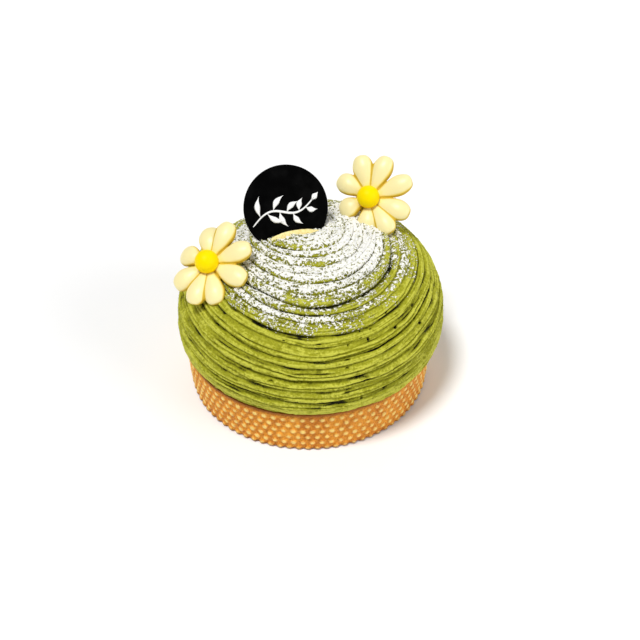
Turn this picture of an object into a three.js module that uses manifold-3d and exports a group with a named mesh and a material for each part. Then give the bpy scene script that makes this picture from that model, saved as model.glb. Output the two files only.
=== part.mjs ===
// Matcha mont blanc cake: a studded tart case, a tall dome of piped matcha cream,
// a round plaque with a pale cream ridge at its foot, and two moulded daisies.
// Millimetres, +Z up. The origin is the middle of the tart's flat underside, and the
// front of the cake faces -Y.

import * as THREE from "three";
import Module from "manifold-3d";
import { ParametricGeometry } from "three/addons/geometries/ParametricGeometry.js";
import { mergeVertices } from "three/addons/utils/BufferGeometryUtils.js";

// ---- driving dimensions ------------------------------------------------------------

const GAP = 0.3; // clearance between pieces that are pressed into each other

const TART_HEIGHT = 20;
const TART_FOOT_RADIUS = 49.7;
const TART_RIM_RADIUS = 50.9;
const TART_FOOT_ROUND = 0.9; // how far the bottom edge draws in
const STUDS_AROUND = 84;
const STUD_ROWS = 6;
const FIRST_STUD_ROW = 1; // height of the lowest row
const STUD_ROW_PITCH = 3.25;
const STUD_RISE = 0.75;

const CREAM_CENTRE = new THREE.Vector2(0.8, 1);
const CREAM_FOOT_HEIGHT = TART_HEIGHT + GAP;
const CREAM_FOOT_RADIUS = 52.2;
const CREAM_FOOT_CURL = 1.6; // the lowest strand curls in under itself
const CREAM_WAIST_HEIGHT = 29.2;
const CREAM_WAIST_RADIUS = 55;
const CREAM_TOP_HEIGHT = 66.8;
const CREAM_TUCK = 0.12; // share of the profile that lies below the waist
const CREAM_ROUNDNESS_OUT = 2.4; // superellipse powers of the dome's profile
const CREAM_ROUNDNESS_UP = 2.54;
const STRAND_WIDTHS = 19; // strand widths along the profile, from the foot to the top
const STRAND_WIDTH = 4.2; // width of a strand whose grooves have their full depth
const STRAND_START = THREE.MathUtils.degToRad(-170); // where the turns are counted from
const STRAND_RUN_IN = 0.03; // share of the profile over which the grooves start and end

// The strand's turns are told apart by the grooves between them. A groove lies at its own
// place round the front. Behind, it climbs to the place of the next groove up, because
// the strand winds upwards. Each entry is a groove's place, in strand widths from the
// foot, and how strongly it is cut.
const FIRST_GROOVE = -1;
const GROOVES = [
  [-2, 0], [-1, 0], [0, 0.1], [1.1, 0.2], [2.05, 1.3], [3.2, 0.6], [4.25, 1], [5.5, 0.55],
  [6.2, 1.05], [7.4, 0.6], [8.25, 1], [9.35, 0.55], [10.1, 1.05], [10.85, 1.3], [11.7, 0.6],
  [12.45, 0.9], [13.1, 0.4], [13.76, 1], [14.7, 0.6], [15.3, 0.9], [16.1, 0.5], [17, 0.5],
  [18, 0.4], [19, 0.3],
];
// How much higher the strands lie at the sides and behind than in front, by level.
const SWAYS = [
  { level: -1, left: 0, right: 0, back: 0 },
  { level: 0, left: 0.4, right: 0.6, back: 0.3 },
  { level: 2, left: 0.9, right: 1.5, back: 0.8 },
  { level: 5, left: 1.5, right: 1.7, back: 0.8 },
  { level: 8.5, left: 1.5, right: 0.9, back: 0.2 },
  { level: 11, left: 1.1, right: 0.8, back: -0.8 },
  { level: 13, left: 0.4, right: 0.3, back: -1.2 },
  { level: 15, left: 0, right: 0, back: -0.7 },
  { level: 19, left: 0, right: 0, back: 0 },
];
const WHORL = new THREE.Vector2(-3.3, 12); // its middle, from the dome's centre
const WHORL_REACH = 38; // radius inside which the strands wind round the whorl's middle
const WHORL_FADE = 1.5; // power that eases it out towards that radius
const GROOVE_DEPTH = 1.3;
const GROOVE_UNEVENNESS = { share: 0.2, waves: 4.1, start: 1.7 }; // how its depth wanders
const LIP_GROOVE = 12; // the strands below this groove are stepped back under a lip
const LIP_FADE = 2.2; // strands over which the step fades out downwards
const LIP_STEP = 0.8;
const FULL_SHOULDER = { turn: 30, rise: 1.4 }; // the dome is fuller at the right rear
const FLAT_SHOULDER = { turn: 148, rise: -1.9 }; // and flatter at the left rear
const SHOULDER_NARROWING = { round: 6, up: 4 }; // powers that keep both to their place
const CREAM_COLUMNS = 38;
const ROWS_PER_STRAND = 3;

const PLAQUE_RADIUS = 16.9;
const PLAQUE_THICKNESS = 1.2;
const PLAQUE_PLACE = { at: [-8.6, 9.3, 74.8], turn: 14.7, lean: 28 };
const RIDGE_LENGTH = 21;
const RIDGE_HEIGHT = 3.4;
const RIDGE_THICKNESS = 1.9;
const RIDGE_ARCH = 1.3; // how much its middle stands above its ends
const RIDGE_BLUNTNESS = 0.32; // 0 gives the ends of a ball, more gives blunter ones
const RIDGE_AT = [2.5, -10.2]; // across and up the plaque's face

const PETAL_HALF_WIDTH = 4.75;
const PETAL_HALF_THICKNESS = 2.9;
const PETAL_ROOT_SHARE = 0.24; // width at the root, as a share of the full width
const PETAL_WIDENING = [0, 0.8]; // shares of the reach between which it widens
const PETAL_BLUNTNESS = 0.18; // 0 gives the ends of a ball, more gives blunter ones
const PETAL_CUP = 1.1; // how far a petal's tip rises towards the viewer
const HUB_RADIUS = 6.2;
const HUB_HALF_THICKNESS = 2.4;
const HUB_DROP = 2.4; // the hub sits behind the petals
const CENTRE_RADIUS = 4.6;
const CENTRE_RISE = 2.3; // middle of the yellow ball in front of the petals

// One entry for each petal: its direction in degrees, its reach, and how far it bends
// back, measured at BEND_SPAN of its reach.
const BEND_SPAN = 0.625;
const LEFT_DAISY = {
  name: "daisy_left",
  place: { at: [-37.8, -12.6, 63.7], turn: -25, lean: 52 },
  petals: [
    { turn: 113, reach: 15.6, bend: 1.5 },
    { turn: 81, reach: 17.9, bend: 0.4 },
    { turn: 35, reach: 18, bend: 0 },
    { turn: -9, reach: 17.8, bend: 0 },
    { turn: -57, reach: 17.2, bend: 0.3 },
    { turn: -89, reach: 17.2, bend: 0 },
    { turn: -130, reach: 16, bend: 0.8 },
    { turn: 174, reach: 14, bend: 1.8 },
  ],
};
const RIGHT_DAISY = {
  name: "daisy_right",
  place: { at: [24.8, 22.1, 71.2], turn: -20, lean: 46 },
  petals: [
    { turn: 115, reach: 18.2, bend: 0 },
    { turn: 79, reach: 18.5, bend: 0.2 },
    { turn: 34, reach: 18.7, bend: 0 },
    { turn: -11, reach: 18.0, bend: 0.5 },
    { turn: -45, reach: 17.7, bend: 0 },
    { turn: -80, reach: 14.5, bend: 0.8 },
    { turn: -144, reach: 13.2, bend: 0.8 },
    { turn: 158, reach: 15.9, bend: 0.6 },
  ],
};

// ---- finishes ----------------------------------------------------------------------

const finish = (color, roughness) =>
  new THREE.MeshStandardMaterial({ color, roughness, metalness: 0 });

const FINISHES = {
  crust: finish(0xd79a4a, 0.7),
  cream: finish(0xa9ad3c, 0.65),
  plaque: finish(0x0b0b0b, 0.35),
  ridge: finish(0xf3e2a0, 0.55),
  petal: finish(0xfbecb0, 0.4),
  centre: finish(0xffe400, 0.35),
};

// ---- solids ------------------------------------------------------------------------

const wasm = await Module();
wasm.setup();

/** Leaves only positions, joins shared vertices and drops triangles that closed up. */
function weld(geometry) {
  const bare = geometry.clone();
  bare.deleteAttribute("normal");
  bare.deleteAttribute("uv");
  const welded = mergeVertices(bare, 1e-4);
  const corners = welded.index.array;
  const kept = [];
  for (let i = 0; i < corners.length; i += 3) {
    const [a, b, c] = corners.slice(i, i + 3);
    if (a !== b && b !== c && c !== a) kept.push(a, b, c);
  }
  welded.setIndex(kept);
  return welded;
}

/** Turns a closed geometry into a solid that can be joined and cut. */
function solid(geometry) {
  const { attributes, index } = weld(geometry);
  const mesh = new wasm.Mesh({
    numProp: 3,
    vertProperties: new Float32Array(attributes.position.array),
    triVerts: new Uint32Array(index.array),
  });
  return new wasm.Manifold(mesh);
}

/** Turns a solid back into a geometry. */
function geometryOf(body) {
  const mesh = body.getMesh();
  const geometry = new THREE.BufferGeometry();
  geometry.setAttribute("position", new THREE.BufferAttribute(mesh.vertProperties, 3));
  geometry.setIndex(new THREE.BufferAttribute(mesh.triVerts, 1));
  return geometry;
}

/** Drops the loose scraps that a cut leaves beside the main body. */
function mainBody(body) {
  const bySize = body.decompose().sort((a, b) => b.volume() - a.volume());
  return bySize[0];
}

/** Moves every vertex of a geometry with a function of its place. */
function reshape(geometry, move) {
  const position = geometry.attributes.position;
  const point = new THREE.Vector3();
  for (let i = 0; i < position.count; i += 1) {
    point.fromBufferAttribute(position, i);
    move(point);
    position.setXYZ(i, point.x, point.y, point.z);
  }
  return geometry;
}

/** Matrix that stands a decoration up: its face turns about Z and leans back. */
function stand({ at, turn, lean }) {
  const tilt = THREE.MathUtils.degToRad(90 - lean);
  const yaw = THREE.MathUtils.degToRad(turn);
  const pose = new THREE.Object3D();
  pose.rotation.set(tilt, 0, yaw, "ZYX");
  pose.position.set(...at);
  pose.updateMatrix();
  return pose.matrix;
}

// ---- tart case ---------------------------------------------------------------------

/** Runs the diagonal of each of the first quads through the corner that stands proud. */
function turnDiagonals(geometry, quads, isProud) {
  const corners = geometry.index.array;
  for (let i = 0; i < 6 * quads; i += 6) {
    const [a, b, d, , c] = corners.slice(i, i + 5);
    if (isProud(a) || isProud(c)) corners.set([a, b, c, a, c, d], i);
  }
}

/** A short flared drum whose wall carries staggered rows of studs. */
function tartCase() {
  const columns = 2 * STUDS_AROUND;
  const rings = 2 * STUD_ROWS; // one ring on each row, one between rows and one at the rim
  const drum = new THREE.CylinderGeometry(TART_RIM_RADIUS, TART_FOOT_RADIUS, rings, columns, rings);
  drum.rotateX(Math.PI / 2);
  drum.translate(0, 0, rings / 2);
  reshape(drum, (point) => {
    const ring = Math.round(point.z);
    const rowsUp = (ring - 1) / 2;
    point.z = FIRST_STUD_ROW + rowsUp * STUD_ROW_PITCH;
    if (ring === 0) point.z = 0;
    if (ring === rings) point.z = TART_HEIGHT;
    const radius = Math.hypot(point.x, point.y);
    if (radius < TART_FOOT_RADIUS / 2) return;
    const turn = Math.atan2(point.y, point.x) / (2 * Math.PI);
    const column = Math.round(turn * columns) + columns;
    const onStud = ring % 2 === 1 && (column + rowsUp) % 2 === 0;
    const rise = (onStud ? STUD_RISE : 0) - (ring === 0 ? TART_FOOT_ROUND : 0);
    point.x *= (radius + rise) / radius;
    point.y *= (radius + rise) / radius;
  });
  const place = drum.attributes.position;
  turnDiagonals(drum, columns * rings, (corner) => {
    const radius = Math.hypot(place.getX(corner), place.getY(corner));
    const flare = (TART_RIM_RADIUS - TART_FOOT_RADIUS) * (place.getZ(corner) / TART_HEIGHT);
    return radius > TART_FOOT_RADIUS + flare + STUD_RISE / 2;
  });
  return weld(drum);
}

// ---- cream dome --------------------------------------------------------------------

/** Half outline of the dome, from its foot up to its top: x is the radius, z the height. */
class CreamProfile extends THREE.Curve {
  getPoint(t, target = new THREE.Vector3()) {
    if (t < CREAM_TUCK) {
      const down = 1 - t / CREAM_TUCK;
      const radius = CREAM_WAIST_RADIUS - (CREAM_WAIST_RADIUS - CREAM_FOOT_RADIUS) * down ** 2;
      const drop = (CREAM_WAIST_HEIGHT - CREAM_FOOT_HEIGHT) * down;
      return target.set(radius, 0, CREAM_WAIST_HEIGHT - drop);
    }
    const angle = ((t - CREAM_TUCK) / (1 - CREAM_TUCK)) * (Math.PI / 2);
    const across = Math.max(Math.cos(angle), 0) ** (2 / CREAM_ROUNDNESS_OUT);
    const up = Math.sin(angle) ** (2 / CREAM_ROUNDNESS_UP);
    const rise = (CREAM_TOP_HEIGHT - CREAM_WAIST_HEIGHT) * up;
    return target.set(CREAM_WAIST_RADIUS * across, 0, CREAM_WAIST_HEIGHT + rise);
  }
}

/** How far a groove has climbed to the next one's place after a share of a turn. */
const climbed = (turn) => THREE.MathUtils.smoothstep(turn, 0.5, 1);

/** Place (0) or strength (1) of a groove, or a value between its two neighbours'. */
function ofGroove(number, quality) {
  const position = number - FIRST_GROOVE;
  const low = THREE.MathUtils.clamp(Math.floor(position), 0, GROOVES.length - 2);
  const part = THREE.MathUtils.clamp(position - low, 0, 1);
  return THREE.MathUtils.lerp(GROOVES[low][quality], GROOVES[low + 1][quality], part);
}

/** How much higher a strand lies than in front, after a share of a turn. */
function sway(level, turn) {
  const next = SWAYS.findIndex((given) => given.level > level);
  if (next < 1) return 0;
  const [low, high] = [SWAYS[next - 1], SWAYS[next]];
  const [left, right, back] = ["left", "right", "back"].map((side) =>
    THREE.MathUtils.mapLinear(level, low.level, high.level, low[side], high[side]));
  const ease = THREE.MathUtils.smoothstep;
  if (turn < 0.5) return left * (1 - ease(turn, 0, 0.25)) + right * ease(turn, 0.25, 0.5);
  const behind = THREE.MathUtils.lerp(right, left, climbed(turn));
  return THREE.MathUtils.lerp(behind, back, ease(0.25 - Math.abs(turn - 0.75), 0, 0.25));
}

/** The piped dome: one strand wound up round it, with a groove between its turns. */
function creamDome() {
  const profile = new CreamProfile();
  profile.arcLengthDivisions = 800;
  const spaced = profile.getSpacedPoints(profile.arcLengthDivisions);
  const strandRows = ROWS_PER_STRAND * (GROOVES.length - 1);
  const stacks = strandRows + 1; // one more row closes the flat underside

  /** Share of the profile's length at which its upper part has a radius. */
  const shareAt = (radius) => {
    const inner = spaced.findIndex(({ x, z }) => z > CREAM_WAIST_HEIGHT && x <= radius);
    const [a, b] = [spaced[inner - 1].x, spaced[inner].x];
    return (inner - 1 + (a - radius) / (a - b)) / (spaced.length - 1);
  };

  /** Plain place before the grooves: its direction from the dome's centre, its share of
   * the profile, and how much of their depth the grooves have there. */
  const plainPlace = (row, turn) => {
    const { clamp, smoothstep } = THREE.MathUtils;
    const level = ofGroove(row + climbed(turn), 0);
    const share = clamp((level + sway(level, turn)) / STRAND_WIDTHS, 0, 1);
    const ends = smoothstep(share, 0, STRAND_RUN_IN) * smoothstep(1 - share, 0, STRAND_RUN_IN);
    const angle = STRAND_START + 2 * Math.PI * turn;
    const radius = profile.getPointAt(share).x;
    if (radius >= WHORL_REACH || share < 0.5) return { share, angle, ends };
    const pull = (1 - (radius / WHORL_REACH) ** 2) ** WHORL_FADE;
    const moved = new THREE.Vector2(Math.cos(angle), Math.sin(angle)).multiplyScalar(radius);
    moved.addScaledVector(WHORL, pull);
    return { share: shareAt(moved.length()), angle: moved.angle(), ends };
  };

  /** Uneven fullness of the dome round its shoulder. */
  const shoulders = (angle, share) => {
    const swell = ({ turn, rise }) => {
      const facing = (Math.cos(angle - THREE.MathUtils.degToRad(turn)) + 1) / 2;
      return rise * facing ** SHOULDER_NARROWING.round;
    };
    const level = Math.sin(Math.PI * share) ** SHOULDER_NARROWING.up;
    return (swell(FULL_SHOULDER) + swell(FLAT_SHOULDER)) * level;
  };

  /** Point of the dome in its own half plane and direction, raised over the profile. */
  const pointAt = ({ share, angle }, rise) => {
    const onProfile = profile.getPointAt(share);
    const along = profile.getTangentAt(THREE.MathUtils.clamp(share, 0.002, 0.998));
    const radius = onProfile.x + along.z * rise;
    const height = share > 0 ? onProfile.z - along.x * rise : CREAM_FOOT_HEIGHT;
    return new THREE.Vector3(
      CREAM_CENTRE.x + radius * Math.cos(angle),
      CREAM_CENTRE.y + radius * Math.sin(angle),
      height,
    );
  };

  /** Height of the piped surface over the plain profile. */
  const relief = (row, turn, { share, angle, ends }) => {
    const { smoothstep } = THREE.MathUtils;
    const number = row + climbed(turn);
    const { share: part, waves, start } = GROOVE_UNEVENNESS;
    const uneven = 1 + part * Math.sin(waves * (row + turn) + start);
    const low = pointAt(plainPlace(row - 0.5, turn), 0);
    const width = low.distanceTo(pointAt(plainPlace(row + 0.5, turn), 0)) / STRAND_WIDTH;
    const depth = GROOVE_DEPTH * ofGroove(number, 1) * uneven * Math.min(width, 1);
    const fade = 1 - 4 * climbed(turn) * (1 - climbed(turn));
    const below = number < LIP_GROOVE - 0.01;
    const step = below ? LIP_STEP * fade * smoothstep(number, LIP_GROOVE - LIP_FADE, LIP_GROOVE) : 0;
    const curl = CREAM_FOOT_CURL * (1 - smoothstep(share, 0, STRAND_RUN_IN));
    return shoulders(angle, share) - curl - ((Number.isInteger(row) ? depth : 0) + step) * ends;
  };

  const surface = (u, v, target) => {
    const step = Math.round(v * stacks) - 1;
    if (step < 0) {
      target.set(CREAM_CENTRE.x, CREAM_CENTRE.y, CREAM_FOOT_HEIGHT);
      return;
    }
    const row = FIRST_GROOVE + step / ROWS_PER_STRAND;
    const turn = THREE.MathUtils.clamp(u, 0, 1);
    const place = plainPlace(row, turn);
    target.copy(pointAt(place, relief(row, turn, place)));
  };
  return solid(new ParametricGeometry(surface, CREAM_COLUMNS, stacks));
}

// ---- plaque and the ridge at its foot ----------------------------------------------

/** The round plaque, with its face towards +Z, made thicker and wider by a clearance. */
function plaqueDisc(clearance = 0) {
  const radius = PLAQUE_RADIUS + clearance;
  const disc = new THREE.CylinderGeometry(radius, radius, PLAQUE_THICKNESS + 2 * clearance, 64);
  return disc.rotateX(Math.PI / 2);
}

/** The pale ridge that stands along the plaque's foot: an arched bar with round ends. */
function footRidge(clearance = 0) {
  const bar = new THREE.SphereGeometry(1, 8, 12).rotateZ(Math.PI / 2);
  const [across, up] = RIDGE_AT;
  const front = (PLAQUE_THICKNESS + RIDGE_THICKNESS) / 2 + GAP;
  return reshape(bar, (point) => {
    const section = Math.max(1 - point.x ** 2, 0);
    const fill = section > 0 ? section ** -RIDGE_BLUNTNESS : 1;
    const arch = RIDGE_ARCH * section;
    point.x = across + point.x * (RIDGE_LENGTH / 2 + clearance);
    point.y = up - RIDGE_HEIGHT / 2 + arch + point.y * fill * (RIDGE_HEIGHT / 2 + clearance);
    point.z = front + point.z * fill * (RIDGE_THICKNESS / 2 + clearance);
  });
}

// ---- daisies -----------------------------------------------------------------------

/** One plump petal along its own direction, narrow at the root and round at the tip. */
function petal({ turn, reach, bend }, clearance) {
  const drop = new THREE.SphereGeometry(1, 10, 7).rotateZ(Math.PI / 2);
  reshape(drop, (point) => {
    const along = (point.x + 1) / 2;
    const widen = THREE.MathUtils.smoothstep(along, ...PETAL_WIDENING);
    const fill = Math.max(1 - point.x ** 2, 1e-3) ** -PETAL_BLUNTNESS;
    const width = (PETAL_ROOT_SHARE + (1 - PETAL_ROOT_SHARE) * widen) * fill;
    const bow = PETAL_CUP * along ** 2 - bend * (along / BEND_SPAN) ** 2;
    point.x = along * (reach + clearance);
    point.y *= width * PETAL_HALF_WIDTH + clearance;
    point.z = point.z * (width * PETAL_HALF_THICKNESS + clearance) + bow;
  });
  return drop.rotateZ(THREE.MathUtils.degToRad(turn));
}

/** The yellow ball in the middle of a daisy. */
function daisyCentre(clearance = 0) {
  const ball = new THREE.SphereGeometry(CENTRE_RADIUS + clearance, 16, 9);
  return ball.rotateX(Math.PI / 2).translate(0, 0, CENTRE_RISE);
}

/** All petals of one daisy, joined by the hub behind them. */
function daisyPetals(petals, clearance = 0) {
  const hub = new THREE.SphereGeometry(1, 14, 6).rotateX(Math.PI / 2);
  hub.scale(HUB_RADIUS + clearance, HUB_RADIUS + clearance, HUB_HALF_THICKNESS + clearance);
  hub.translate(0, 0, -HUB_DROP);
  return petals.reduce((joined, each) => joined.add(solid(petal(each, clearance))), solid(hub));
}

// ---- assembly ----------------------------------------------------------------------

const cake = new THREE.Group();

/** Adds one named piece, placed by its matrix. */
function addPiece(name, geometry, material, matrix = new THREE.Matrix4()) {
  const mesh = new THREE.Mesh(geometry, material);
  mesh.name = name;
  matrix.decompose(mesh.position, mesh.quaternion, mesh.scale);
  cake.add(mesh);
}

/** Takes the room for a placed decoration out of a solid. */
const pressIn = (body, geometry, matrix) => body.subtract(solid(geometry.applyMatrix4(matrix)));

const plaquePlace = stand(PLAQUE_PLACE);
let dome = creamDome();
dome = pressIn(dome, plaqueDisc(GAP), plaquePlace);
dome = pressIn(dome, footRidge(GAP), plaquePlace);

for (const daisy of [LEFT_DAISY, RIGHT_DAISY]) {
  const place = stand(daisy.place);
  const petals = daisyPetals(daisy.petals).subtract(solid(daisyCentre(GAP)));
  dome = pressIn(dome, geometryOf(daisyPetals(daisy.petals, GAP)), place);
  dome = pressIn(dome, daisyCentre(GAP), place);
  addPiece(`${daisy.name}_petals`, geometryOf(petals), FINISHES.petal, place);
  addPiece(`${daisy.name}_centre`, weld(daisyCentre()), FINISHES.centre, place);
}

addPiece("tart_case", tartCase(), FINISHES.crust);
addPiece("cream_dome", geometryOf(mainBody(dome)), FINISHES.cream);
addPiece("plaque", weld(plaqueDisc()), FINISHES.plaque, plaquePlace);
addPiece("plaque_foot_ridge", weld(footRidge()), FINISHES.ridge, plaquePlace);

export default cake;
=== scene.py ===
"""Matcha mont blanc cake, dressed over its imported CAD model.

Metres, +Z up, with the front of the cake facing -Y. Each sub-assembly is a class: its
fields are its real sizes, and its methods build its meshes and give them their finish.
"""

import itertools
import logging
import math
from dataclasses import dataclass, field
from enum import Enum
from functools import cached_property
from typing import Sequence, Union

import bpy
import numpy as np
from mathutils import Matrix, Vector


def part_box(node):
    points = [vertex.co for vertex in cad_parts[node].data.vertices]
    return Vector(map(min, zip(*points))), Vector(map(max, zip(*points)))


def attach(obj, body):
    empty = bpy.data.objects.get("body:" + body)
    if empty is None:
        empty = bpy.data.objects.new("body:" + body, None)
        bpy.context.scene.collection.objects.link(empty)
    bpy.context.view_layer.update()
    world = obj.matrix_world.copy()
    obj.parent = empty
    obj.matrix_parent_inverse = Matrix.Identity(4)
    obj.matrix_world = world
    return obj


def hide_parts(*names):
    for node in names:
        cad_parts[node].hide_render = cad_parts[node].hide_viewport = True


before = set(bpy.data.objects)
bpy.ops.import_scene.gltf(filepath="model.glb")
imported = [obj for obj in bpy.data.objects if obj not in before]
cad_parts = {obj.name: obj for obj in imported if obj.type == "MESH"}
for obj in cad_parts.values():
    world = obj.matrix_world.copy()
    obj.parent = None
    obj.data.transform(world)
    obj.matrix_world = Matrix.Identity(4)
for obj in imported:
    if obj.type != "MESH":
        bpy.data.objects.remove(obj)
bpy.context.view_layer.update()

MM = 0.001
TINY = 1e-9
CORNER_FACTORS = (73856093, 19349663, 83492791)  # scatter the three lattice numbers of a corner
SEED_FACTOR = 2654435761
MIXING_FACTORS = (1274126177, 1103515245)
LOG = logging.getLogger("mont_blanc")

Array = np.ndarray
Colour = tuple[float, float, float]
Triple = tuple[float, float, float]


class Slot(Enum):
    """Material slots that the finishes belong to."""

    CRUST = "crust"
    CREAM = "matcha_cream"
    PLAQUE = "dark_plaque"
    PALE_CREAM = "pale_cream"
    PETAL = "petal"
    CENTRE = "yellow_centre"


# ---- numbers on arrays ------------------------------------------------------------------


def ease(value: Array, low: float, high: float) -> Array:
    """Smooth step of a value, from 0 at low to 1 at high."""
    part = np.clip((value - low) / (high - low), 0, 1)
    return part * part * (3 - 2 * part)


def bell(value: Array, width: float) -> Array:
    """Bell curve, 1 where the value is 0."""
    return np.exp(-((value / width) ** 2))


def facing(angle: Array, bearing: float, low: float, high: float) -> Array:
    """How squarely a direction faces a bearing in degrees, eased between two cosines."""
    return ease(np.cos(angle - math.radians(bearing)), low, high)


@dataclass(frozen=True)
class Grain:
    """Smooth lattice noise in three directions, the same on each run."""

    seed: int

    def corner(self, cell: Array) -> Array:
        """Random number from -1 to 1 for each lattice corner.

        Args:
            cell: the three lattice numbers of each corner.

        Returns:
            One number a corner.
        """
        x, y, z = (cell[..., axis] * factor for axis, factor in enumerate(CORNER_FACTORS))
        mixed = (x ^ y ^ z ^ (self.seed * SEED_FACTOR)) * MIXING_FACTORS[0]
        mixed = (mixed ^ (mixed >> 13)) * MIXING_FACTORS[1]
        return ((mixed ^ (mixed >> 16)) & 0xFFFF) / 0x7FFF - 1

    def at(self, *cells: Array) -> Array:
        """Noise from about -1 to 1.

        Args:
            cells: three arrays, the place of each point counted in lattice cells.

        Returns:
            One number for each point.
        """
        place = np.stack(np.broadcast_arrays(*cells), axis=-1)
        cell = np.floor(place).astype(np.int64)
        part = place - cell
        part = part * part * (3 - 2 * part)
        total = np.zeros(place.shape[:-1])
        for offset in itertools.product((0, 1), repeat=3):
            step = np.array(offset)
            weight = np.prod(np.where(step, part, 1 - part), axis=-1)
            total += weight * self.corner(cell + step)
        return total


# ---- meshes -----------------------------------------------------------------------------


@dataclass
class Form:
    """Closed triangle skin in metres, with numbers painted on its vertices.

    Attributes:
        vertices: one row of three for each vertex.
        faces: one row of three vertex numbers for each triangle.
        marks: for each name, one number a vertex, which a finish can read.
    """

    vertices: Array
    faces: Array
    marks: dict[str, Array] = field(default_factory=dict)

    def tidied(self) -> "Form":
        """The form without closed-up triangles and vertices that no face uses.

        Returns:
            The same skin as a new form.
        """
        a, b, c = self.faces.T
        faces = self.faces[(a != b) & (b != c) & (c != a)]
        used, renumbered = np.unique(faces, return_inverse=True)
        marks = {name: values[used] for name, values in self.marks.items()}
        return Form(self.vertices[used], renumbered.reshape(-1, 3), marks)

    def placed(self, turn: Array, at: Sequence[float]) -> "Form":
        """The form after a rotation and a move."""
        return Form(self.vertices @ turn.T + np.array(at), self.faces, self.marks)

    def normals(self) -> Array:
        """Unit normal of each vertex.

        Returns:
            One row of three for each vertex.
        """
        a, b, c = (self.vertices[self.faces[:, corner]] for corner in range(3))
        across = np.cross(b - a, c - a)
        total = np.zeros_like(self.vertices)
        for corner in range(3):
            np.add.at(total, self.faces[:, corner], across)
        return total / np.maximum(np.linalg.norm(total, axis=1, keepdims=True), 1e-12)

    def object(self, name: str) -> bpy.types.Object:
        """The form as a smooth Blender object in the scene.

        Args:
            name: the object's name.

        Returns:
            The object.
        """
        mesh = bpy.data.meshes.new(name)
        mesh.vertices.add(len(self.vertices))
        mesh.vertices.foreach_set("co", self.vertices.astype(np.float32).ravel())
        mesh.loops.add(self.faces.size)
        mesh.loops.foreach_set("vertex_index", self.faces.astype(np.int32).ravel())
        mesh.polygons.add(len(self.faces))
        mesh.polygons.foreach_set("loop_start", np.arange(len(self.faces), dtype=np.int32) * 3)
        mesh.polygons.foreach_set("use_smooth", np.ones(len(self.faces), dtype=bool))
        mesh.update(calc_edges=True)
        for mark, values in self.marks.items():
            layer = mesh.attributes.new(mark, "FLOAT", "POINT")
            layer.data.foreach_set("value", values.astype(np.float32))
        made = bpy.data.objects.new(name, mesh)
        bpy.context.scene.collection.objects.link(made)
        return made

    def piece(self, name: str, material: bpy.types.Material, slot: Slot,
              *nodes: str) -> bpy.types.Object:
        """Puts the form in the scene as one piece of the cake.

        Args:
            name: the piece's name.
            material: its finish.
            slot: the slot that the finish belongs to; not used.
            nodes: the CAD nodes that it stands for.

        Returns:
            The object, riding on the cake's one body.
        """
        made = self.object(name)
        made.data.materials.append(material)
        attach(made, "root")
        if nodes:
            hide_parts(*nodes)
        LOG.info("%s: %d triangles, stands for %s", name, len(self.faces), nodes or "no node")
        return made


def joined(forms: Sequence[Form]) -> Form:
    """Several forms as one, without their marks.

    Args:
        forms: the closed forms.

    Returns:
        One form.
    """
    starts = np.cumsum([0] + [len(form.vertices) for form in forms[:-1]])
    faces = [form.faces + start for form, start in zip(forms, starts)]
    return Form(np.concatenate([form.vertices for form in forms]), np.concatenate(faces))


def band(index: Array, beside: Array) -> Array:
    """Triangles between each column of vertex numbers and the column beside it.

    Args:
        index: vertex numbers, one row for each column.
        beside: those of the column next to each.

    Returns:
        Rows of three vertex numbers.
    """
    a, b, c, d = index[:, :-1], beside[:, :-1], beside[:, 1:], index[:, 1:]
    halves = ((a, b, c), (a, c, d))
    return np.concatenate([np.stack(corners, -1).reshape(-1, 3) for corners in halves])


def revolve(profile: Array, columns: int) -> Form:
    """Turns a profile round Z.

    Args:
        profile: rows of radius and height, from the bottom point on the axis up the
            outside to the top point on the axis.
        columns: how many times the profile is repeated round the axis.

    Returns:
        The closed form.
    """
    angle = (np.arange(columns) * 2 * math.pi / columns)[:, None]
    radius, height = profile[1:-1].T
    rings = np.stack([radius * np.cos(angle), radius * np.sin(angle), height + 0 * angle], -1)
    index = np.arange(columns * len(radius)).reshape(columns, -1)
    beside = np.roll(index, -1, axis=0)
    bottom, top = index.size, index.size + 1
    fans = [
        np.stack([np.full(columns, bottom), beside[:, 0], index[:, 0]], -1),
        np.stack([np.full(columns, top), index[:, -1], beside[:, -1]], -1),
    ]
    ends = [[0, 0, profile[0, 1]], [0, 0, profile[-1, 1]]]
    return Form(np.concatenate([rings.reshape(-1, 3), ends]),
                np.concatenate([band(index, beside), *fans]))


def ball(columns: int, rows: int) -> Form:
    """Unit ball with its poles on Z.

    Args:
        columns: how many it has round Z.
        rows: how many from pole to pole.

    Returns:
        The closed form.
    """
    angle = np.linspace(-math.pi / 2, math.pi / 2, rows + 1)
    profile = np.stack([np.cos(angle), np.sin(angle)], -1)
    profile[[0, -1], 0] = 0
    return revolve(profile, columns)


def lengthwise_ball(columns: int, rows: int) -> Form:
    """Unit ball with its poles on X."""
    upright = ball(columns, rows)
    return Form(upright.vertices[:, [2, 0, 1]], upright.faces)


def turn_about_z(degrees: float) -> Array:
    """Rotation matrix about Z."""
    c, s = math.cos(math.radians(degrees)), math.sin(math.radians(degrees))
    return np.array([[c, -s, 0], [s, c, 0], [0, 0, 1]])


def turn_about_x(degrees: float) -> Array:
    """Rotation matrix about X."""
    c, s = math.cos(math.radians(degrees)), math.sin(math.radians(degrees))
    return np.array([[1, 0, 0], [0, c, -s], [0, s, c]])


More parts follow.
